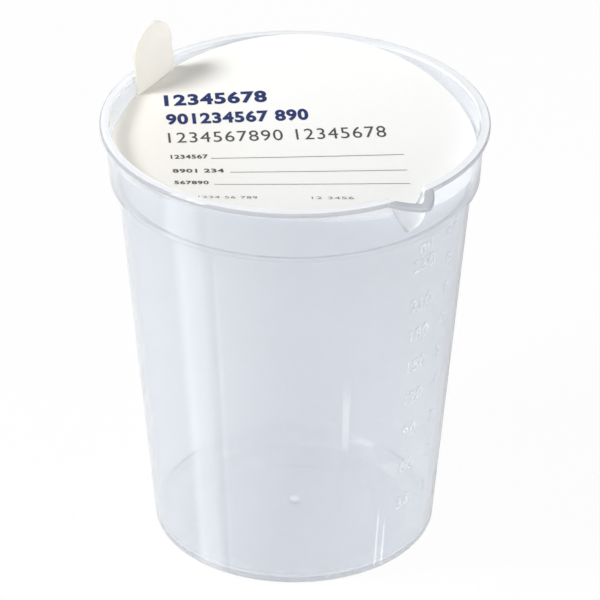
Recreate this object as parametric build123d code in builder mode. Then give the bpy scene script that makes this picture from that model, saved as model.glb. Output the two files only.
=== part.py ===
from build123d import *
from math import atan, cos, radians, sin, sqrt, tan
import os

# A moulded specimen cup with a pouring spout, and the paperboard lid that wedges into its
# collar, with a pull tab folded up at the lid's edge.
# Millimetres. The origin is on the cup's axis, in the plane that the cup stands on. +Z is up,
# and the spout points along -Y.

# Outside of the cup
cup_height = 98.0
rim_radius = 41.5
rim_width = 1.15
rim_thickness = 0.9
rim_bevel = 0.25
collar_height = 12.6
collar_flare = 0.75
ledge_width = 1.65
ledge_height = 0.5
ledge_bevel = 0.3
base_radius = 30.8
base_corner = 0.9

# Wall and floor of the cup
wall = 0.8
floor_thickness = 1.0
foot_inner_radius = 25.0
floor_rise = 1.4
floor_rise_radius = 14.0
inner_bevel = 1.2
gate_mark_radius = 1.2
gate_mark_height = 0.5

# Pouring spout, at three levels: depth below the rim, half width at the wall, reach beyond the wall
spout_levels = [(0.0, 5.2, 6.0), (3.2, 3.7, 5.6), (6.4, 1.9, 3.7)]
spout_depth = 9.8
spout_tip_radius = 0.9
spout_root_radius = 1.2
spout_bulge = 0.07
spout_overlap = 0.3

# Lid: a flat round board that sits bowed like a shallow trough, wedged at its two sides.
# The turn is that of the trough's axis from +X, and the tilt lowers the trough's right-hand end.
# The rises are those of the top face from the rim, at the trough's middle, front and rear.
board = 0.55
lid_radius = 38.9
lid_turn = -43.1
lid_tilt = 1.2
lid_middle_rise = -6.0
lid_front_rise = -2.2
lid_rear_rise = 0.7

# Pull tab: a round-ended tongue of the same board, folded up along a chord of the lid
tab_direction = 150.0
tab_fold_radius = 37.9
tab_width = 12.4
tab_height = 14.8
tab_lean = 1.0
fold_radius = 0.5
fold_lift = 0.03
fold_gap = 0.06
notch_side_gap = 0.25
notch_height = 3.3

collar_top_radius = rim_radius - rim_width
collar_bottom_radius = collar_top_radius - collar_flare
collar_bottom = cup_height - collar_height
body_top_radius = collar_bottom_radius - ledge_width
body_top = collar_bottom - ledge_height


def vessel_form(inset, lift):
    """The cup as one solid of revolution, with its sides drawn in by inset and its floor up by lift."""
    with BuildPart() as form:
        with BuildSketch(Plane.XZ):
            with BuildLine():
                Polyline(
                    (0, floor_rise + lift),
                    (floor_rise_radius, floor_rise + lift),
                    (foot_inner_radius, lift),
                    (base_radius - inset, lift),
                    (body_top_radius - inset, body_top + inset),
                    (collar_bottom_radius - inset, collar_bottom + inset),
                    (collar_top_radius - inset, cup_height),
                    (0, cup_height),
                    close=True,
                )
            make_face()
        revolve(axis=Axis.Z)
    return form.part


def spout_outline(depth, half_width, reach, inset):
    """A level section of the spout: two bulging flanks that meet in a rounded tip."""
    half_angle = atan(half_width / reach)
    reach = reach + inset - inset / sin(half_angle)
    half_width = reach * tan(half_angle)
    wall_radius = collar_top_radius - collar_flare * depth / collar_height - inset
    shore = -sqrt((wall_radius - spout_overlap) ** 2 - half_width**2)
    left = (-half_width, shore)
    right = (half_width, shore)
    tip = (0, -wall_radius - reach)
    sagitta = spout_bulge * reach / cos(half_angle)
    tip_radius = (spout_tip_radius - inset / 2) * reach / spout_levels[0][2]
    with BuildSketch(Plane.XY.offset(cup_height - depth)) as outline:
        with BuildLine():
            SagittaArc(left, tip, -sagitta)
            SagittaArc(tip, right, -sagitta)
            Polyline(right, (half_width, shore + reach), (-half_width, shore + reach), left)
        make_face()
        fillet(outline.vertices().sort_by(Axis.Y)[0], tip_radius)
    return outline.sketch


def spout_form(inset):
    """The spout as one solid that thins out to a point in the collar's wall."""
    rise = 1 - inset / spout_depth
    sections = [
        spout_outline(depth * rise, half_width, reach, inset)
        for depth, half_width, reach in spout_levels
    ]
    end_depth = spout_depth * rise
    end_radius = collar_top_radius - collar_flare * end_depth / collar_height - inset - wall
    with BuildPart() as form:
        loft([*sections, Vertex(0, -end_radius, cup_height - end_depth)])
    return form.part


cup_outside = vessel_form(0, 0)
cup_hollow = vessel_form(wall, floor_thickness)
spout_outside = spout_form(0)
spout_hollow = spout_form(wall)
rim_plane = Plane.XY.offset(cup_height)
spout_mouth = rim_plane.to_local_coords(spout_outline(*spout_levels[0], 0))

with BuildPart() as inside:
    add(cup_hollow)
    floor_edges = inside.edges().group_by(Axis.Z)[0]
    chamfer(floor_edges.sort_by(SortBy.RADIUS)[-1], inner_bevel)

with BuildPart() as cup:
    add(cup_outside)
    foot_edges = cup.edges().group_by(Axis.Z)[0]
    fillet(foot_edges.sort_by(SortBy.RADIUS)[-1], base_corner)
    circles = cup.edges().filter_by(GeomType.CIRCLE)
    chamfer(circles.filter_by_position(Axis.Z, collar_bottom, collar_bottom), ledge_bevel)
    add(spout_outside)

    # The rim's flange follows the collar and runs out round the spout.
    with BuildSketch(rim_plane) as rim:
        Circle(collar_top_radius)
        add(spout_mouth)
        roots = [v for v in rim.vertices() if abs(abs(v.X) - spout_levels[0][1]) < wall / 2]
        fillet(roots, spout_root_radius)
        offset(amount=rim_width)
    extrude(amount=-rim_thickness)
    chamfer(cup.faces().sort_by(Axis.Z)[-1].edges(), rim_bevel)

    add(inside.part, mode=Mode.SUBTRACT)
    add(spout_hollow, mode=Mode.SUBTRACT)

    # The mark that the mould's gate leaves under the floor
    with BuildSketch(Plane.XY.offset(floor_rise - gate_mark_height)):
        Circle(gate_mark_radius)
    extrude(amount=gate_mark_height)

# The bow of the lid's top face is an arc across the trough, from its front edge to its rear edge.
front_edge = Vector(-lid_radius, lid_front_rise)
trough_middle = Vector(0, lid_middle_rise)
rear_edge = Vector(lid_radius, lid_rear_rise)
lid_bow = ThreePointArc(front_edge, trough_middle, rear_edge)
bow_centre = lid_bow.arc_center
bow_radius = lid_bow.radius
lid_span = bow_radius * sin(lid_radius / bow_radius)
along_trough = Vector(1, 0, -tan(radians(lid_tilt))).rotate(Axis.Z, lid_turn)
across_trough = Vector(0, 1, 0).rotate(Axis.Z, lid_turn)
lid_plane = Plane((0, 0, cup_height), x_dir=along_trough, z_dir=along_trough.cross(across_trough))
bow_plane = Plane(lid_plane.origin, x_dir=lid_plane.y_dir, z_dir=lid_plane.x_dir)


def on_lid(x, y):
    """The point on the lid's top face at x along the trough and y across it."""
    rise = bow_centre.Y - sqrt(bow_radius**2 - (y - bow_centre.X) ** 2)
    return lid_plane.from_local_coords(Vector(x, y, rise))


# The fold's line runs between two points on the lid's top face, a little above it.
towards_tab = Vector(1, 0).rotate(Axis.Z, tab_direction)
half_fold = towards_tab.rotate(Axis.Z, 90) * tab_width / 2
fold_right = towards_tab * tab_fold_radius - half_fold
fold_left = towards_tab * tab_fold_radius + half_fold
fold_ends = [on_lid(fold_right.X, fold_right.Y), on_lid(fold_left.X, fold_left.Y)]
fold_middle = (fold_ends[0] + fold_ends[1]) / 2 + Vector(0, 0, fold_lift)
fold_line = (fold_ends[1] - fold_ends[0]).normalized()
outward = Vector(fold_line.Y, -fold_line.X, 0).normalized()
fold_plane = Plane(fold_middle, x_dir=fold_line, z_dir=outward)
tab_facing = outward.rotate(Axis((0, 0, 0), fold_line), -tab_lean)
tab_plane = Plane(fold_middle, x_dir=fold_line, z_dir=tab_facing)

with BuildPart() as lid:
    with BuildSketch(bow_plane):
        with BuildLine():
            top = ThreePointArc(front_edge, trough_middle, rear_edge)
            down = Vector(0, -board)
            bottom = ThreePointArc(front_edge + down, trough_middle + down, rear_edge + down)
            Line(top @ 0, bottom @ 0)
            Line(top @ 1, bottom @ 1)
        make_face()
    extrude(amount=lid_radius + board, both=True)
    with BuildSketch(lid_plane):
        Ellipse(lid_radius, lid_span)
    extrude(amount=collar_height, both=True, mode=Mode.INTERSECT)

    # The notch at the fold, where the tab was cut free of the disc
    with BuildSketch(fold_plane.offset(-fold_gap)):
        Rectangle(tab_width + 2 * notch_side_gap, notch_height)
    extrude(amount=lid_radius - tab_fold_radius + 2 * fold_gap, mode=Mode.SUBTRACT)

with BuildPart() as pull_tab:
    with BuildSketch(tab_plane):
        tab_shoulder = tab_height - tab_width / 2
        with Locations((0, (tab_shoulder - board) / 2)):
            Rectangle(tab_width, tab_shoulder + board)
        with Locations((0, tab_shoulder)):
            Circle(tab_width / 2)
    extrude(amount=board)

    # The outside of the fold is rounded.
    outer_face = pull_tab.faces().sort_by(Axis(fold_middle, tab_plane.z_dir))[-1]
    fillet(outer_face.edges().sort_by(Axis.Z)[0], fold_radius)

cup.part.label = "cup"
lid.part.label = "lid"
pull_tab.part.label = "pull_tab"

os.makedirs("parts", exist_ok=True)
export_step(cup.part, "parts/cup.step")
export_step(lid.part, "parts/lid.step")
export_step(pull_tab.part, "parts/pull_tab.step")
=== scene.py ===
"""Looks of a moulded specimen cup with a printed paperboard lid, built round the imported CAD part.

Metres. The origin is on the cup's axis, in the plane that it stands on. +Z is up, and the spout
points along -Y.
"""

import logging
import math
from dataclasses import dataclass, field
from enum import Enum

import bpy
from mathutils import Matrix, Vector


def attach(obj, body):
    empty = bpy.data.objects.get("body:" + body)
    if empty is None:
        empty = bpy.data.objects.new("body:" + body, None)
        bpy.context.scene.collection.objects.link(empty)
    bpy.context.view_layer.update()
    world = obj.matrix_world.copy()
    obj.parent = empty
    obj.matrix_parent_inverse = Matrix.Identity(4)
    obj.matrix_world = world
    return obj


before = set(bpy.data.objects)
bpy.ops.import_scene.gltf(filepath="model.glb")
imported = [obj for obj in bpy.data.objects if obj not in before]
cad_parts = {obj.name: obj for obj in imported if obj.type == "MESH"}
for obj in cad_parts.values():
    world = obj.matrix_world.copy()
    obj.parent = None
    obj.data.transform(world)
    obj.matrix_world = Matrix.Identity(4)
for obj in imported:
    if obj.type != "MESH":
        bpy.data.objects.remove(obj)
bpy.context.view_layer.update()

MM = 0.001
MILLILITRE = 1e-6
LOG = logging.getLogger("specimen_cup")

Colour = tuple[float, float, float]
Triple = tuple[float, float, float]
WHITE: Colour = (1.0, 1.0, 1.0)


class Weight(Enum):
    """How heavy the strokes of a printed row are, as an outline offset in shares of its letter size."""

    BOLD = 0.04
    MEDIUM = 0.03
    LIGHT = 0.0


def rgba(colour: Colour) -> tuple[float, float, float, float]:
    """An opaque colour with its alpha."""
    return (*colour, 1.0)


def dimmed(colour: Colour, share: float) -> Colour:
    """A colour at a share of its brightness."""
    return tuple(channel * share for channel in colour)


class Graph:
    """A node tree with short ways to add nodes and join them."""

    def __init__(self, tree: bpy.types.NodeTree) -> None:
        """Take a tree and clear it.

        Args:
            tree: The shader, world or geometry tree that the nodes go into.
        """
        self.tree = tree
        tree.nodes.clear()

    def add(self, kind: str, settings: dict | None = None, **inputs) -> bpy.types.Node:
        """Add one node.

        Args:
            kind: The node's type name.
            settings: Properties of the node itself.
            **inputs: Values or output sockets for its inputs, by name with _ for a space, or by _N
                for a number.

        Returns:
            The node.
        """
        node = self.tree.nodes.new(kind)
        for name, value in (settings or {}).items():
            setattr(node, name, value)
        for name, value in inputs.items():
            key = int(name[1:]) if name.startswith("_") else name.replace("_", " ")
            socket = node.inputs[key]
            if isinstance(value, bpy.types.NodeSocket):
                self.tree.links.new(value, socket)
            else:
                socket.default_value = value
        return node

    def maths(self, operation: str, first, second=0.0) -> bpy.types.NodeSocket:
        """The result of a Math node, whose name is the same in shader and geometry trees."""
        return self.add("ShaderNodeMath", {"operation": operation}, _0=first, _1=second).outputs[0]

    def place(self) -> bpy.types.NodeSocket:
        """The place on the piece, in its own coordinates."""
        return self.add("ShaderNodeTexCoord").outputs["Object"]

    def noise(self, place: bpy.types.NodeSocket, size: float, detail: float) -> bpy.types.NodeSocket:
        """Noise whose size is given in waves per metre."""
        return self.add("ShaderNodeTexNoise", Vector=place, Scale=size, Detail=detail).outputs["Fac"]

    def bump(
        self, height: bpy.types.NodeSocket, distance: float, strength: float
    ) -> bpy.types.NodeSocket:
        """The normal of a surface that a height pushes in and out."""
        node = self.add("ShaderNodeBump", Strength=strength, Distance=distance, Height=height)
        return node.outputs["Normal"]

    def rise(
        self, value: bpy.types.NodeSocket, start: float, end: float, most: float = 1.0
    ) -> bpy.types.NodeSocket:
        """A share that goes from 0 to its most as a value goes from start to end."""
        limits = {"From_Min": start, "From_Max": end, "To_Max": most}
        return self.add("ShaderNodeMapRange", Value=value, **limits).outputs[0]

    def ramp(
        self,
        share: bpy.types.NodeSocket,
        low: Colour,
        high: Colour,
        start: float = 0.0,
        end: float = 1.0,
    ) -> bpy.types.NodeSocket:
        """A colour that goes from low to high.

        Args:
            share: What the colour follows.
            low: The colour up to the start.
            high: The colour from the end on.
            start: The share at which the colour begins to change.
            end: The share at which it has changed.

        Returns:
            The colour.
        """
        node = self.add("ShaderNodeValToRGB", Fac=share)
        for stop, position, colour in zip(node.color_ramp.elements, (start, end), (low, high)):
            stop.position = position
            stop.color = rgba(colour)
        return node.outputs["Color"]

    def tinted(
        self, colour: bpy.types.NodeSocket, tint: Colour, share: bpy.types.NodeSocket
    ) -> bpy.types.NodeSocket:
        """A colour multiplied by a tint, as far as a share says."""
        multiply = {"data_type": "RGBA", "blend_type": "MULTIPLY"}
        return self.add("ShaderNodeMix", multiply, _0=share, _6=colour, _7=rgba(tint)).outputs[2]

    def mix(self, share, first: bpy.types.Node, second: bpy.types.Node) -> bpy.types.Node:
        """A shader that goes from the first to the second as a share goes from 0 to 1."""
        shaders = {"_1": first.outputs[0], "_2": second.outputs[0]}
        return self.add("ShaderNodeMixShader", _0=share, **shaders)

    def surface(self, shader: bpy.types.Node) -> None:
        """Make a shader the material's surface."""
        self.add("ShaderNodeOutputMaterial", Surface=shader.outputs[0])

    def seen_white(self) -> bpy.types.NodeSocket:
        """Tell rays that show the surroundings from rays that only light the object.

        Returns:
            1 for a ray that comes from the camera, a reflection or glass, and 0 for others.
        """
        path = self.add("ShaderNodeLightPath").outputs
        shown = self.maths("MAXIMUM", path["Is Camera Ray"], path["Is Glossy Ray"])
        return self.maths("MAXIMUM", shown, path["Is Transmission Ray"])


def new_material(name: str) -> tuple[bpy.types.Material, Graph]:
    """Make a material without nodes.

    Args:
        name: Its name.

    Returns:
        The material, and the graph of its nodes.
    """
    material = bpy.data.materials.new(name)
    material.use_nodes = True
    return material, Graph(material.node_tree)


@dataclass(frozen=True)
class FrostedPlastic:
    """Natural polypropylene: glossy skin, milky and slightly blue in its depth.

    Heights are above the plane that the cup stands on. An effect grows from where it starts to
    where it ends, up to its cover.
    """

    name: str = "frosted_plastic"
    tint: Colour = (0.895, 0.916, 0.946)
    cloud_shade: float = 0.985
    cloud_size: float = 33.0
    cloud_detail: float = 3.0
    clearness: float = 0.9
    haze: float = 0.06
    ior: float = 1.38
    skin: float = 0.6
    skin_roughness: float = 0.05
    wave_size: float = 55.0
    wave_detail: float = 1.5
    wave_height: float = 0.4 * MM
    wave_strength: float = 0.14
    milk: Colour = (0.74, 0.77, 0.83)
    glow: float = 0.14
    pass_through: float = 0.62
    # Painted shade: the floor of the cup is tinted darker, as if less light reached it.
    painted_floor_shade: Colour = (0.955, 0.96, 0.97)
    painted_shade_starts: float = 3.4 * MM
    painted_shade_ends: float = 2.2 * MM
    # Painted light: the rim and the spout are painted white in place of the bright surroundings that
    # they reflect, and the rim's outer edge gets a painted dark line. The gate mark's white is its own
    # colour.
    gate_white_and_painted_rim_light: Colour = (0.93, 0.945, 0.965)
    painted_rim_cover: float = 0.72
    rim_starts: float = 96.9 * MM
    rim_ends: float = 97.2 * MM
    painted_edge_shade: Colour = (0.45, 0.46, 0.49)
    edge_starts: float = 41.1 * MM
    edge_ends: float = 41.3 * MM
    painted_spout_cover: float = 0.5
    spout_starts: float = 39.8 * MM
    spout_ends: float = 41.5 * MM
    gate_cover: float = 0.8
    gate_height: float = 1.9 * MM
    gate_starts: float = 1.5 * MM
    gate_ends: float = 0.9 * MM

    def thin(self, graph: Graph, place: bpy.types.NodeSocket) -> bpy.types.Node:
        """Make the shader of the plain wall and floor.

        Args:
            graph: The material's nodes.
            place: The place on the cup.

        Returns:
            A dielectric that blurs what is behind it, with painted shade darkening the floor of the
            cup, mixed with light that passes through it spread out.
        """
        height = graph.add("ShaderNodeSeparateXYZ", Vector=place).outputs["Z"]
        wave = graph.noise(place, self.wave_size, self.wave_detail)
        cloud = graph.noise(place, self.cloud_size, self.cloud_detail)
        shade = graph.ramp(cloud, dimmed(self.tint, self.cloud_shade), self.tint)
        # Painted shade darkens the colour low down, on the floor of the cup.
        painted_shade_share = graph.rise(height, self.painted_shade_starts, self.painted_shade_ends)
        body = graph.add(
            "ShaderNodeBsdfPrincipled",
            Base_Color=graph.tinted(shade, self.painted_floor_shade, painted_shade_share),
            Roughness=self.haze,
            IOR=self.ior,
            Transmission_Weight=self.clearness,
            Coat_Weight=self.skin,
            Coat_Roughness=self.skin_roughness,
            Normal=graph.bump(wave, self.wave_height, self.wave_strength),
        )
        glow = graph.add("ShaderNodeBsdfTranslucent", Color=rgba(self.milk))
        return graph.mix(self.glow, body, glow)

    def painted_rim_light_and_gate(
        self, graph: Graph, place: bpy.types.NodeSocket
    ) -> tuple[bpy.types.NodeSocket, bpy.types.Node]:
        """Make the painted white light of the rim and the spout, with a painted dark line round the
        rim's edge, and the white gate mark.

        Args:
            graph: The material's nodes.
            place: The place on the cup.

        Returns:
            How much of it shows at each place, and a white shader with a grey edge round the rim.
        """
        right, across, height = graph.add("ShaderNodeSeparateXYZ", Vector=place).outputs
        level = graph.add("ShaderNodeCombineXYZ", X=right, Y=across).outputs[0]
        radius = graph.add("ShaderNodeVectorMath", {"operation": "LENGTH"}, _0=level)
        reach = graph.maths("MULTIPLY", across, -1.0)
        gate_centre = (0, 0, self.gate_height)
        gate = graph.add("ShaderNodeVectorMath", {"operation": "DISTANCE"}, _0=place, _1=gate_centre)
        # Painted white light on the rim and the spout, and a painted dark line on the rim's outer edge.
        on_rim = graph.rise(height, self.rim_starts, self.rim_ends, self.painted_rim_cover)
        on_edge = graph.rise(radius.outputs["Value"], self.edge_starts, self.edge_ends)
        on_spout = graph.rise(reach, self.spout_starts, self.spout_ends, self.painted_spout_cover)
        on_gate = graph.rise(
            gate.outputs["Value"], self.gate_starts, self.gate_ends, self.gate_cover
        )
        cover = graph.maths("MAXIMUM", graph.maths("MAXIMUM", on_rim, on_spout), on_gate)
        painted_edge_share = graph.maths("MULTIPLY", on_edge, on_rim)
        tone = graph.ramp(painted_edge_share, self.gate_white_and_painted_rim_light, self.painted_edge_shade, end=self.painted_rim_cover)
        return cover, graph.add("ShaderNodeBsdfDiffuse", Color=tone)

    def build(self) -> bpy.types.Material:
        """Make the material.

        Returns:
            A translucent plastic, with painted white light on the rim and the spout, a painted dark
            line round the rim's outer edge, and a white gate mark. It lets part of the lamps' light
            through, so its shadows are pale.
        """
        material, graph = new_material(self.name)
        place = graph.place()
        cover, painted_rim_light_and_gate = self.painted_rim_light_and_gate(graph, place)
        plastic = graph.mix(cover, self.thin(graph, place), painted_rim_light_and_gate)
        shadow = graph.add("ShaderNodeLightPath").outputs["Is Shadow Ray"]
        share = graph.maths("MULTIPLY", shadow, self.pass_through)
        graph.surface(graph.mix(share, plastic, graph.add("ShaderNodeBsdfTransparent")))
        return material


@dataclass(frozen=True)
class RaisedPlastic:
    """The same plastic where a figure stands proud of the wall: a thin, milkier glossy skin."""

    name: str = "raised_plastic"
    colour: Colour = (0.93, 0.94, 0.97)
    cover: float = 0.3
    roughness: float = 0.12
    grain_size: float = 400.0
    grain_detail: float = 2.0
    grain_shade: float = 0.97

    def build(self) -> bpy.types.Material:
        """Make the material.

        Returns:
            A glossy skin with the wall showing through it.
        """
        material, graph = new_material(self.name)
        grain = graph.noise(graph.place(), self.grain_size, self.grain_detail)
        skin = graph.add(
            "ShaderNodeBsdfPrincipled",
            Base_Color=graph.ramp(grain, dimmed(self.colour, self.grain_shade), self.colour),
            Roughness=self.roughness,
            Alpha=self.cover,
        )
        graph.surface(skin)
        return material


@dataclass(frozen=True)
class LidBoard:
    """Coated paperboard: smooth, off-white, with faint fibres, and creamier towards one side, where
    warm light is painted into its colour.
    """

    name: str = "lid_board"
    colour: Colour = (0.90, 0.90, 0.885)
    roughness: float = 0.55
    fibre: Colour = (0.88, 0.878, 0.86)
    fibre_size: float = 900.0
    fibre_detail: float = 4.0
    fibre_stretch: Triple = (1.0, 0.35, 1.0)
    fibre_height: float = 0.04 * MM
    fibre_strength: float = 0.3
    # Painted light: towards one side the board is tinted creamier, standing in for warm light that
    # falls there.
    painted_warm_light: Colour = (0.945, 0.91, 0.85)
    painted_light_side: Triple = (-0.83, 0.56, 0.0)
    painted_light_starts: float = 8.0 * MM
    painted_light_ends: float = 38.0 * MM

    def build(self) -> bpy.types.Material:
        """Make the material.

        Returns:
            A matt board with stretched fibre noise in its colour and bump, and painted warm light that
            tints it creamier towards one side.
        """
        material, graph = new_material(self.name)
        place = graph.place()
        stretched = graph.add("ShaderNodeMapping", Vector=place, Scale=self.fibre_stretch)
        fibre = graph.noise(stretched.outputs[0], self.fibre_size, self.fibre_detail)
        dot = {"operation": "DOT_PRODUCT"}
        # Painted warm light: how far each place lies towards the side that is tinted creamier.
        side = graph.add("ShaderNodeVectorMath", dot, _0=place, _1=self.painted_light_side)
        painted_light_share = graph.rise(side.outputs["Value"], self.painted_light_starts, self.painted_light_ends)
        tone = graph.ramp(fibre, self.fibre, self.colour)
        board = graph.add(
            "ShaderNodeBsdfPrincipled",
            Base_Color=graph.tinted(tone, self.painted_warm_light, painted_light_share),
            Roughness=self.roughness,
            Normal=graph.bump(fibre, self.fibre_height, self.fibre_strength),
        )
        graph.surface(board)
        return material


@dataclass(frozen=True)
class Ink:
    """A printed ink whose cover varies a little over the board's grain."""

    name: str
    colour: Colour
    cover: float = 0.975
    roughness: float = 0.5
    shine: float = 0.15
    grain_size: float = 2600.0
    grain_detail: float = 2.0
    grain_starts: float = 0.25
    grain_ends: float = 0.6

    def build(self) -> bpy.types.Material:
        """Make the material.

        Returns:
            A matt ink in which the board shows through in fine specks.
        """
        material, graph = new_material(self.name)
        grain = graph.noise(graph.place(), self.grain_size, self.grain_detail)
        worn = tuple(c + (1 - c) * (1 - self.cover) for c in self.colour)
        ink = graph.add(
            "ShaderNodeBsdfPrincipled",
            Base_Color=graph.ramp(grain, worn, self.colour, self.grain_starts, self.grain_ends),
            Roughness=self.roughness,
            Specular_IOR_Level=self.shine,
        )
        graph.surface(ink)
        return material


def mesh_object(name: str, mesh: bpy.types.Mesh) -> bpy.types.Object:
    """Put a mesh into the scene.

    Args:
        name: The name of the object.
        mesh: Its mesh.

    Returns:
        The object, which stands at the origin.
    """
    piece = bpy.data.objects.new(name, mesh)
    bpy.context.scene.collection.objects.link(piece)
    return piece


def strip_mesh(name: str, pairs: list[tuple[Triple, Triple]]) -> bpy.types.Mesh:
    """Make a strip of four-sided faces.

    Args:
        name: The name of the mesh.
        pairs: The two edge points at each step along the strip.

    Returns:
        The mesh.
    """
    points = [point for pair in pairs for point in pair]
    faces = [(2 * s, 2 * s + 2, 2 * s + 3, 2 * s + 1) for s in range(len(pairs) - 1)]
    mesh = bpy.data.meshes.new(name)
    mesh.from_pydata(points, [], faces)
    return mesh


def sheet_mesh(name: str, width: float, height: float) -> bpy.types.Mesh:
    """Make a flat rectangle in the XY plane.

    Args:
        name: The name of the mesh.
        width: Its size along X.
        height: Its size along Y.

    Returns:
        The mesh, with its middle at the origin.
    """
    x, y = width / 2, height / 2
    mesh = bpy.data.meshes.new(name)
    mesh.from_pydata([(-x, -y, 0), (x, -y, 0), (x, y, 0), (-x, y, 0)], [], [(0, 1, 2, 3)])
    return mesh


def joined(name: str, parts: list[bpy.types.Object]) -> bpy.types.Object:
    """Join mesh objects into one piece.

    Args:
        name: The name of the piece.
        parts: Mesh objects at the origin. They are used up.

    Returns:
        The joined object.
    """
    first = parts[0]
    if len(parts) > 1:
        with bpy.context.temp_override(active_object=first, selected_editable_objects=parts):
            bpy.ops.object.join()
    first.name = name
    first.data.name = name
    return first


@dataclass
class Cup:
    """The moulded cup with its two columns of raised numbers."""

    finish: FrostedPlastic = field(default_factory=FrostedPlastic)
    figure_finish: RaisedPlastic = field(default_factory=RaisedPlastic)
    base_radius: float = 30.8 * MM
    wall: float = 0.8 * MM
    floor_top: float = 2.4 * MM
    taper: float = 0.0842
    figure_size: float = 4.2 * MM
    figure_spacing: float = 1.08
    figure_rise: float = 3.1 * MM
    relief: float = 0.16 * MM
    root: float = 0.05 * MM
    weld: float = 0.002 * MM
    millilitre_bearing: float = -78.4
    ounce_bearing: float = -64.0
    unit_height: float = 82.0 * MM
    millilitres: tuple[int, ...] = (30, 60, 90, 120, 150, 180, 210, 250)
    ounces: tuple[int, ...] = (1, 2, 3, 4, 5, 6, 7, 8)
    ounce_volume: float = 29.57

    def fill_height(self, millilitres: float) -> float:
        """Find how high the liquid stands in the tapered hollow.

        Args:
            millilitres: The volume.

        Returns:
            The height above the plane that the cup stands on.
        """
        inner = self.base_radius - self.wall
        start = inner + self.taper * self.floor_top
        cubed = start**3 + 3 * self.taper * millilitres * MILLILITRE / math.pi
        return (cubed ** (1 / 3) - inner) / self.taper

    def raised_text(self, graph: Graph, given: bpy.types.bpy_prop_collection) -> bpy.types.Node:
        """Write a text and thicken it.

        Args:
            graph: The nodes of the tree.
            given: The outputs of its inputs node.

        Returns:
            A node whose mesh is a closed flat text, which stands on the XY plane.
        """
        text = graph.add(
            "GeometryNodeStringToCurves",
            {"align_x": "CENTER", "align_y": "MIDDLE"},
            String=given["Text"],
            Size=given["Size"],
            Character_Spacing=self.figure_spacing,
        )
        outline = graph.add(
            "GeometryNodeRealizeInstances", Geometry=text.outputs["Curve Instances"]
        )
        flat = graph.add("GeometryNodeFillCurve", Curve=outline.outputs[0])
        depth = graph.maths("ADD", given["Relief"], given["Root"])
        up = graph.add("ShaderNodeCombineXYZ", Z=depth).outputs[0]
        raised = graph.add(
            "GeometryNodeExtrudeMesh", Mesh=flat.outputs[0], Offset=up, Individual=False
        )
        back = graph.add("GeometryNodeFlipFaces", Mesh=flat.outputs[0])
        both = graph.add("GeometryNodeJoinGeometry")
        for half in (back, raised):
            graph.tree.links.new(half.outputs[0], both.inputs[0])
        return graph.add(
            "GeometryNodeMergeByDistance", Geometry=both.outputs[0], Distance=self.weld
        )

    def figure_tree(self) -> bpy.types.NodeTree:
        """Make the tree for one raised label on the wall.

        Returns:
            A geometry tree that writes a text, thickens it, and wraps it on the tapered wall.
        """
        tree = bpy.data.node_groups.new("raised_figure", "GeometryNodeTree")
        graph = Graph(tree)
        sockets = tree.interface
        sockets.new_socket("Geometry", in_out="OUTPUT", socket_type="NodeSocketGeometry")
        sockets.new_socket("Text", in_out="INPUT", socket_type="NodeSocketString")
        for name in ("Size", "Height", "Bearing", "Foot Radius", "Taper", "Relief", "Root"):
            sockets.new_socket(name, in_out="INPUT", socket_type="NodeSocketFloat")
        sockets.new_socket("Material", in_out="INPUT", socket_type="NodeSocketMaterial")
        given = graph.add("NodeGroupInput").outputs
        closed = self.raised_text(graph, given)

        place = graph.add("GeometryNodeInputPosition").outputs[0]
        across, along, out = graph.add("ShaderNodeSeparateXYZ", Vector=place).outputs
        height = graph.maths("ADD", given["Height"], along)
        lean = graph.maths("MULTIPLY", height, given["Taper"])
        surface = graph.maths("ADD", given["Foot Radius"], lean)
        proud = graph.maths("SUBTRACT", out, given["Root"])
        radius = graph.maths("ADD", surface, proud)
        turn = graph.maths("DIVIDE", across, surface)
        angle = graph.maths("ADD", given["Bearing"], turn)
        wrapped = graph.add(
            "ShaderNodeCombineXYZ",
            X=graph.maths("MULTIPLY", radius, graph.maths("COSINE", angle)),
            Y=graph.maths("MULTIPLY", radius, graph.maths("SINE", angle)),
            Z=height,
        ).outputs[0]
        moved = graph.add(
            "GeometryNodeSetPosition", Geometry=closed.outputs[0], Position=wrapped
        )
        whole = graph.add("GeometryNodeRealizeInstances", Geometry=moved.outputs[0])
        dressed = graph.add(
            "GeometryNodeSetMaterial", Geometry=whole.outputs[0], Material=given["Material"]
        )
        graph.add("NodeGroupOutput", Geometry=dressed.outputs[0])
        return tree

    def figure(
        self,
        tree: bpy.types.NodeTree,
        text: str,
        height: float,
        bearing: float,
        material: bpy.types.Material,
    ) -> bpy.types.Object:
        """Write one raised label on the wall.

        Args:
            tree: The tree of figure_tree.
            text: The label.
            height: Height of its middle.
            bearing: Its direction from the axis, in degrees from +X.
            material: The label's material.

        Returns:
            A mesh object at the origin.
        """
        values = {
            "Text": text,
            "Size": self.figure_size,
            "Height": height,
            "Bearing": math.radians(bearing),
            "Foot Radius": self.base_radius,
            "Taper": self.taper,
            "Relief": self.relief,
            "Root": self.root,
            "Material": material,
        }
        carrier = mesh_object("figure", bpy.data.meshes.new("figure"))
        modifier = carrier.modifiers.new("figure", "NODES")
        modifier.node_group = tree
        for item in tree.interface.items_tree:
            if item.in_out == "INPUT":
                modifier[item.identifier] = values[item.name]
        evaluated = carrier.evaluated_get(bpy.context.evaluated_depsgraph_get())
        mesh = bpy.data.meshes.new_from_object(evaluated)
        carrier.modifiers.clear()
        carrier.data = mesh
        return carrier

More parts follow.
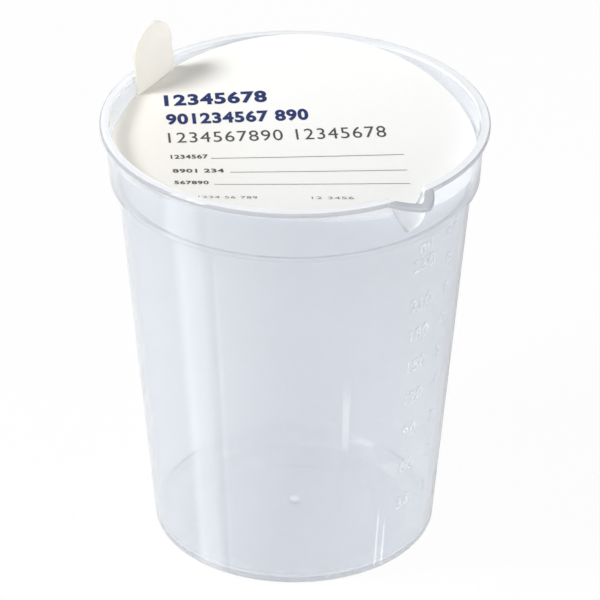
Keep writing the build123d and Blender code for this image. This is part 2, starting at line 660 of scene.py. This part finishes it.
    def column(
        self, name: str, marks: dict[str, float], bearing: float, material: bpy.types.Material
    ) -> None:
        """Write one column of raised labels as one piece that rides on the cup.

        Args:
            name: The name of the piece.
            marks: The height of each label's middle.
            bearing: The column's direction from the axis, in degrees from +X.
            material: The labels' material.
        """
        tree = self.figure_tree()
        labels = [
            self.figure(tree, text, height, bearing, material) for text, height in marks.items()
        ]
        piece = joined(name, labels)
        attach(piece, "cup")
        LOG.info("%s: %d labels", name, len(marks))

    def build(self) -> None:
        """Dress the cup and write both columns."""
        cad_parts["cup"].material_slots[0].material = self.finish.build()
        raised = self.figure_finish.build()
        columns = (
            ("millilitre_numbers", "ml", self.millilitres, 1.0, self.millilitre_bearing),
            ("ounce_numbers", "oz", self.ounces, self.ounce_volume, self.ounce_bearing),
        )
        for name, unit, amounts, volume, bearing in columns:
            marks = {str(a): self.fill_height(a * volume) + self.figure_rise for a in amounts}
            marks[unit] = self.unit_height
            self.column(name, marks, bearing, raised)


@dataclass(frozen=True)
class PrintedRow:
    """A row of numbers: its baseline, length, height, weight and left end on the lid."""

    text: str
    base: float
    length: float
    height: float
    weight: Weight
    left: float = -26.8 * MM


@dataclass(frozen=True)
class PrintedRule:
    """A straight printed line: its height on the lid, its two ends and its thickness."""

    base: float
    left: float
    right: float = 22.7 * MM
    thickness: float = 0.24 * MM


@dataclass
class Lid:
    """The bowed board with its print, and the pull tab."""

    finish: LidBoard = field(default_factory=LidBoard)
    navy: Ink = field(default_factory=lambda: Ink("navy_ink", (0.008, 0.022, 0.115)))
    grey: Ink = field(default_factory=lambda: Ink("grey_ink", (0.065, 0.065, 0.07)))
    pale: Ink = field(default_factory=lambda: Ink("pale_ink", (0.2, 0.2, 0.2)))
    faint: Ink = field(default_factory=lambda: Ink("faint_ink", (0.2, 0.2, 0.2)))
    reading_turn: float = -30.5
    ink_lift: float = 0.05 * MM
    probe_height: float = 120.0 * MM
    letter_spacing: float = 1.1
    letter_steps: int = 6
    rule_steps: int = 24
    headings: tuple[PrintedRow, ...] = (
        PrintedRow("12345678", 16.5 * MM, 22.2 * MM, 4.3 * MM, Weight.BOLD),
        PrintedRow("901234567 890", 9.2 * MM, 30.6 * MM, 4.4 * MM, Weight.BOLD),
    )
    subheadings: tuple[PrintedRow, ...] = (
        PrintedRow("1234567890 12345678", 1.6 * MM, 46.6 * MM, 4.3 * MM, Weight.LIGHT),
    )
    labels: tuple[PrintedRow, ...] = (
        PrintedRow("1234567", -5.7 * MM, 7.9 * MM, 1.9 * MM, Weight.MEDIUM),
        PrintedRow("8901 234", -12.5 * MM, 10.8 * MM, 1.9 * MM, Weight.MEDIUM),
        PrintedRow("567890", -18.6 * MM, 7.2 * MM, 1.9 * MM, Weight.MEDIUM),
    )
    rules: tuple[PrintedRule, ...] = (
        PrintedRule(-5.8 * MM, -18.3 * MM),
        PrintedRule(-12.5 * MM, -14.7 * MM),
        PrintedRule(-18.7 * MM, -18.5 * MM),
    )
    foot_rows: tuple[PrintedRow, ...] = (
        PrintedRow("1234 56 789", -26.5 * MM, 12.3 * MM, 1.35 * MM, Weight.LIGHT, -22.3 * MM),
        PrintedRow("12 3456", -26.5 * MM, 8.8 * MM, 1.35 * MM, Weight.LIGHT, 1.3 * MM),
    )

    def laid(self, mesh: bpy.types.Mesh, left: float, base: float) -> None:
        """Lay a flat mesh on the lid's top face.

        Args:
            mesh: A mesh in the XY plane with its left end at the origin. Its points are moved.
            left: Where the origin goes, to the right of the lid's middle in its reading direction.
            base: Where the origin goes, behind the lid's middle.
        """
        reading = Matrix.Rotation(math.radians(self.reading_turn), 4, "Z")
        mesh.transform(reading @ Matrix.Translation((left, base, 0)))
        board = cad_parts["lid"]
        for vertex in mesh.vertices:
            above = Vector((vertex.co.x, vertex.co.y, self.probe_height))
            hit, point, _, _ = board.ray_cast(above, Vector((0, 0, -1)))
            if not hit:
                raise ValueError(f"a print leaves the lid at {vertex.co.x:.4f}, {vertex.co.y:.4f}")
            vertex.co.z = point.z + self.ink_lift

    def row(self, words: PrintedRow, ink: bpy.types.Material) -> bpy.types.Object:
        """Print one row of numbers.

        Args:
            words: The row.
            ink: Its ink.

        Returns:
            A mesh object at the origin.
        """
        curve = bpy.data.curves.new("row", "FONT")
        curve.body = words.text
        curve.offset = words.weight.value
        curve.space_character = self.letter_spacing
        curve.resolution_u = self.letter_steps
        writing = bpy.data.objects.new("row", curve)
        bpy.context.scene.collection.objects.link(writing)
        evaluated = writing.evaluated_get(bpy.context.evaluated_depsgraph_get())
        mesh = bpy.data.meshes.new_from_object(evaluated)
        bpy.data.objects.remove(writing)
        xs = [v.co.x for v in mesh.vertices]
        ys = [v.co.y for v in mesh.vertices]
        stretch = words.length / (max(xs) - min(xs))
        raise_by = words.height / (max(ys) - min(ys))
        size = Matrix.Diagonal((stretch, raise_by, 1, 1))
        mesh.transform(size @ Matrix.Translation((-min(xs), -min(ys), 0)))
        self.laid(mesh, words.left, words.base)
        mesh.materials.clear()
        mesh.materials.append(ink)
        return mesh_object("row", mesh)

    def rule(self, line: PrintedRule, ink: bpy.types.Material) -> bpy.types.Object:
        """Print one straight line.

        Args:
            line: The line.
            ink: Its ink.

        Returns:
            A mesh object at the origin.
        """
        pairs = []
        for step in range(self.rule_steps + 1):
            x = (line.right - line.left) * step / self.rule_steps
            pairs.append(((x, 0, 0), (x, line.thickness, 0)))
        mesh = strip_mesh("rule", pairs)
        self.laid(mesh, line.left, line.base)
        mesh.materials.append(ink)
        return mesh_object("rule", mesh)

    def printed(self, name: str, parts: list[bpy.types.Object]) -> None:
        """Join prints into one piece that rides on the lid.

        Args:
            name: The name of the piece.
            parts: The prints.
        """
        piece = joined(name, parts)
        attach(piece, "lid")
        LOG.info("%s: %d prints", name, len(parts))

    def build(self) -> None:
        """Dress the lid and the pull tab, and print on the lid."""
        board = self.finish.build()
        for node in ("lid", "pull_tab"):
            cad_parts[node].material_slots[0].material = board
        navy, grey = self.navy.build(), self.grey.build()
        pale, faint = self.pale.build(), self.faint.build()
        self.printed("headings", [self.row(r, navy) for r in self.headings])
        self.printed("subheading", [self.row(r, grey) for r in self.subheadings])
        self.printed("labels", [self.row(r, grey) for r in self.labels])
        self.printed("fill_in_rules", [self.rule(r, pale) for r in self.rules])
        self.printed("foot_rows", [self.row(r, faint) for r in self.foot_rows])


def direction(azimuth: float, elevation: float) -> Vector:
    """Find the way from the cup to something.

    Args:
        azimuth: Where it stands as seen from above, in degrees from -Y towards +X.
        elevation: Its height angle in degrees.

    Returns:
        A unit vector.
    """
    a, e = math.radians(azimuth), math.radians(elevation)
    return Vector((math.sin(a) * math.cos(e), -math.cos(a) * math.cos(e), math.sin(e)))


@dataclass
class Lamp:
    """A round softbox: its azimuth and elevation in degrees, its width and its power."""

    name: str
    azimuth: float
    elevation: float
    width: float
    power: float
    distance: float = 0.9


@dataclass
class Card:
    """A small white card that shows only in reflections: its direction, size and brightness."""

    name: str
    azimuth: float
    elevation: float
    width: float
    height: float
    strength: float
    distance: float = 0.7


@dataclass
class Tent:
    """A round wall below the cup that only reflections see.

    It runs from its first azimuth to its last, and each tone is a brightness at an azimuth.
    """

    name: str = "reflection_tent"
    radius: float = 0.8
    low: float = -1.1
    high: float = -0.12
    first: float = -205.0
    last: float = 135.0
    steps: int = 68
    brightest: float = 5.0
    tones: tuple[tuple[float, float], ...] = (
        (-205.0, 1.0),
        (-172.0, 1.05),
        (-145.0, 1.5),
        (-126.0, 1.8),
        (-118.0, 3.3),
        (-104.0, 2.9),
        (-99.0, 2.2),
        (-95.0, 1.5),
        (-92.5, 1.5),
        (-91.0, 2.4),
        (-88.0, 1.9),
        (-78.0, 1.7),
        (-55.0, 1.25),
        (-36.0, 1.0),
        (60.0, 1.0),
        (90.0, 0.8),
        (135.0, 0.6),
    )

    def glow(self) -> bpy.types.Material:
        """Make the material.

        Returns:
            An emission that follows the tones by the share of the way round the wall.
        """
        material, graph = new_material(self.name)
        around = graph.add("ShaderNodeAttribute", {"attribute_name": "around"}).outputs["Fac"]
        ramp = graph.add("ShaderNodeValToRGB", Fac=around)
        stops = ramp.color_ramp.elements
        while len(stops) < len(self.tones):
            stops.new(0.5)
        for stop, (azimuth, tone) in zip(stops, self.tones):
            stop.position = (azimuth - self.first) / (self.last - self.first)
            stop.color = rgba(dimmed(WHITE, tone / self.brightest))
        colour = ramp.outputs["Color"]
        graph.surface(graph.add("ShaderNodeEmission", Color=colour, Strength=self.brightest))
        return material

    def build(self) -> bpy.types.Object:
        """Make the wall.

        Returns:
            An open band.
        """
        shares = [step / self.steps for step in range(self.steps + 1)]
        pairs = []
        for share in shares:
            foot = direction(self.first + (self.last - self.first) * share, 0) * self.radius
            pairs.append(((foot.x, foot.y, self.low), (foot.x, foot.y, self.high)))
        mesh = strip_mesh(self.name, pairs)
        around = mesh.attributes.new("around", "FLOAT", "POINT")
        for step, share in enumerate(shares):
            around.data[2 * step].value = share
            around.data[2 * step + 1].value = share
        mesh.materials.append(self.glow())
        return mesh_object(self.name, mesh)


@dataclass
class Studio:
    """Camera, lamps, floor and surroundings."""

    camera_azimuth: float = -35.4
    camera_elevation: float = 28.088
    camera_distance: float = 950.25 * MM
    camera_roll: float = 0.0035
    rim_height: float = 98.0 * MM
    aim_right: float = 1.173 * MM
    aim_height: float = 53.457 * MM
    lens: float = 268.52
    sensor: float = 36.0
    floor_size: float = 3.0
    floor_colour: Colour = (0.86, 0.86, 0.87)
    floor_white: float = 0.95
    surround: Colour = (0.26, 0.26, 0.26)
    lamps: tuple[Lamp, ...] = (
        Lamp("key", -109.0, 46.0, 0.28, 6.7),
        Lamp("fill", 12.0, 10.0, 0.9, 6.9),
        Lamp("top", 120.0, 60.0, 0.7, 0.4),
    )
    tent: Tent = field(default_factory=Tent)
    cards: tuple[Card, ...] = (
        Card("window_card", 3.7, -39.9, 0.055, 0.018, 3.5),
        Card("left_streak_card", 37.5, -43.0, 0.014, 0.03, 4.5),
        Card("right_streak_card", 44.3, -43.0, 0.014, 0.03, 4.5),
    )

    @property
    def middle(self) -> Vector:
        """The point on the cup's axis that lamps and cards face."""
        return Vector((0, 0, self.aim_height))

    def aimed(
        self, thing: bpy.types.Object, place: Vector, target: Vector, roll: float = 0.0
    ) -> None:
        """Put an object into the scene at a place and turn its -Z to a target.

        Args:
            thing: A lamp, camera or card object.
            place: Where it goes.
            target: What it looks at.
            roll: Its turn about its own axis, in radians.
        """
        turn = (target - place).to_track_quat("-Z", "Y").to_matrix().to_4x4()
        thing.matrix_world = Matrix.Translation(place) @ turn @ Matrix.Rotation(roll, 4, "Z")
        bpy.context.scene.collection.objects.link(thing)

    def build_camera(self) -> None:
        """Set the camera at the photograph's viewing angle."""
        data = bpy.data.cameras.new("camera")
        data.sensor_width = self.sensor
        data.lens = self.lens
        camera = bpy.data.objects.new("camera", data)
        azimuth = math.radians(self.camera_azimuth)
        right = Vector((math.cos(azimuth), math.sin(azimuth), 0))
        target = right * self.aim_right + self.middle
        rim_centre = Vector((0, 0, self.rim_height))
        outward = direction(self.camera_azimuth, self.camera_elevation)
        place = rim_centre + outward * self.camera_distance
        self.aimed(camera, place, target, self.camera_roll)
        bpy.context.scene.camera = camera

    def build_lamps(self) -> None:
        """Hang the softboxes round the cup."""
        for lamp in self.lamps:
            data = bpy.data.lights.new(lamp.name, "AREA")
            data.shape = "DISK"
            data.size = lamp.width
            data.energy = lamp.power
            light = bpy.data.objects.new(lamp.name, data)
            place = self.middle + direction(lamp.azimuth, lamp.elevation) * lamp.distance
            self.aimed(light, place, self.middle)
            light.visible_camera = False

    def reflect_only(self, board: bpy.types.Object) -> None:
        """Stage a board that everything but reflections misses.

        Args:
            board: The tent or a card.
        """
        board.visible_camera = False
        board.visible_diffuse = False
        board.visible_transmission = False
        board.visible_volume_scatter = False
        board.visible_shadow = False

    def build_cards(self) -> None:
        """Stand the tent and the small cards where the cup's side mirrors them."""
        self.reflect_only(self.tent.build())
        for card in self.cards:
            material, graph = new_material(card.name)
            graph.surface(
                graph.add("ShaderNodeEmission", Color=rgba(WHITE), Strength=card.strength)
            )
            mesh = sheet_mesh(card.name, card.width, card.height)
            mesh.materials.append(material)
            board = bpy.data.objects.new(card.name, mesh)
            place = self.middle + direction(card.azimuth, card.elevation) * card.distance
            self.aimed(board, place, self.middle)
            self.reflect_only(board)

    def build_surroundings(self) -> None:
        """Make the world, white to the eye and grey to what it lights."""
        world = bpy.data.worlds.new("surroundings")
        world.use_nodes = True
        bpy.context.scene.world = world
        graph = Graph(world.node_tree)
        light = graph.add("ShaderNodeBackground", Color=rgba(self.surround), Strength=1.0)
        white = graph.add("ShaderNodeBackground", Color=rgba(WHITE), Strength=1.0)
        shown = graph.mix(graph.seen_white(), light, white)
        graph.add("ShaderNodeOutputWorld", Surface=shown.outputs[0])

    def build_floor(self) -> None:
        """Lay a pale floor that looks nearly white and keeps a faint shadow."""
        material, graph = new_material("floor")
        paint = graph.add("ShaderNodeBsdfDiffuse", Color=rgba(self.floor_colour))
        white = graph.add("ShaderNodeEmission", Color=rgba(WHITE), Strength=1.0)
        share = graph.maths("MULTIPLY", graph.seen_white(), self.floor_white)
        graph.surface(graph.mix(share, paint, white))
        mesh = sheet_mesh("floor", self.floor_size, self.floor_size)
        mesh.materials.append(material)
        floor = mesh_object("floor", mesh)
        floor.visible_glossy = False

    def build(self) -> None:
        """Set up everything round the cup."""
        self.build_camera()
        self.build_lamps()
        self.build_cards()
        self.build_surroundings()
        self.build_floor()
        bpy.context.scene.view_settings.view_transform = "Standard"


def main() -> None:
    """Build the looks, piece by piece."""
    logging.basicConfig(level=logging.INFO)
    Studio().build()
    Cup().build()
    Lid().build()


if __name__ == "__main__":
    main()
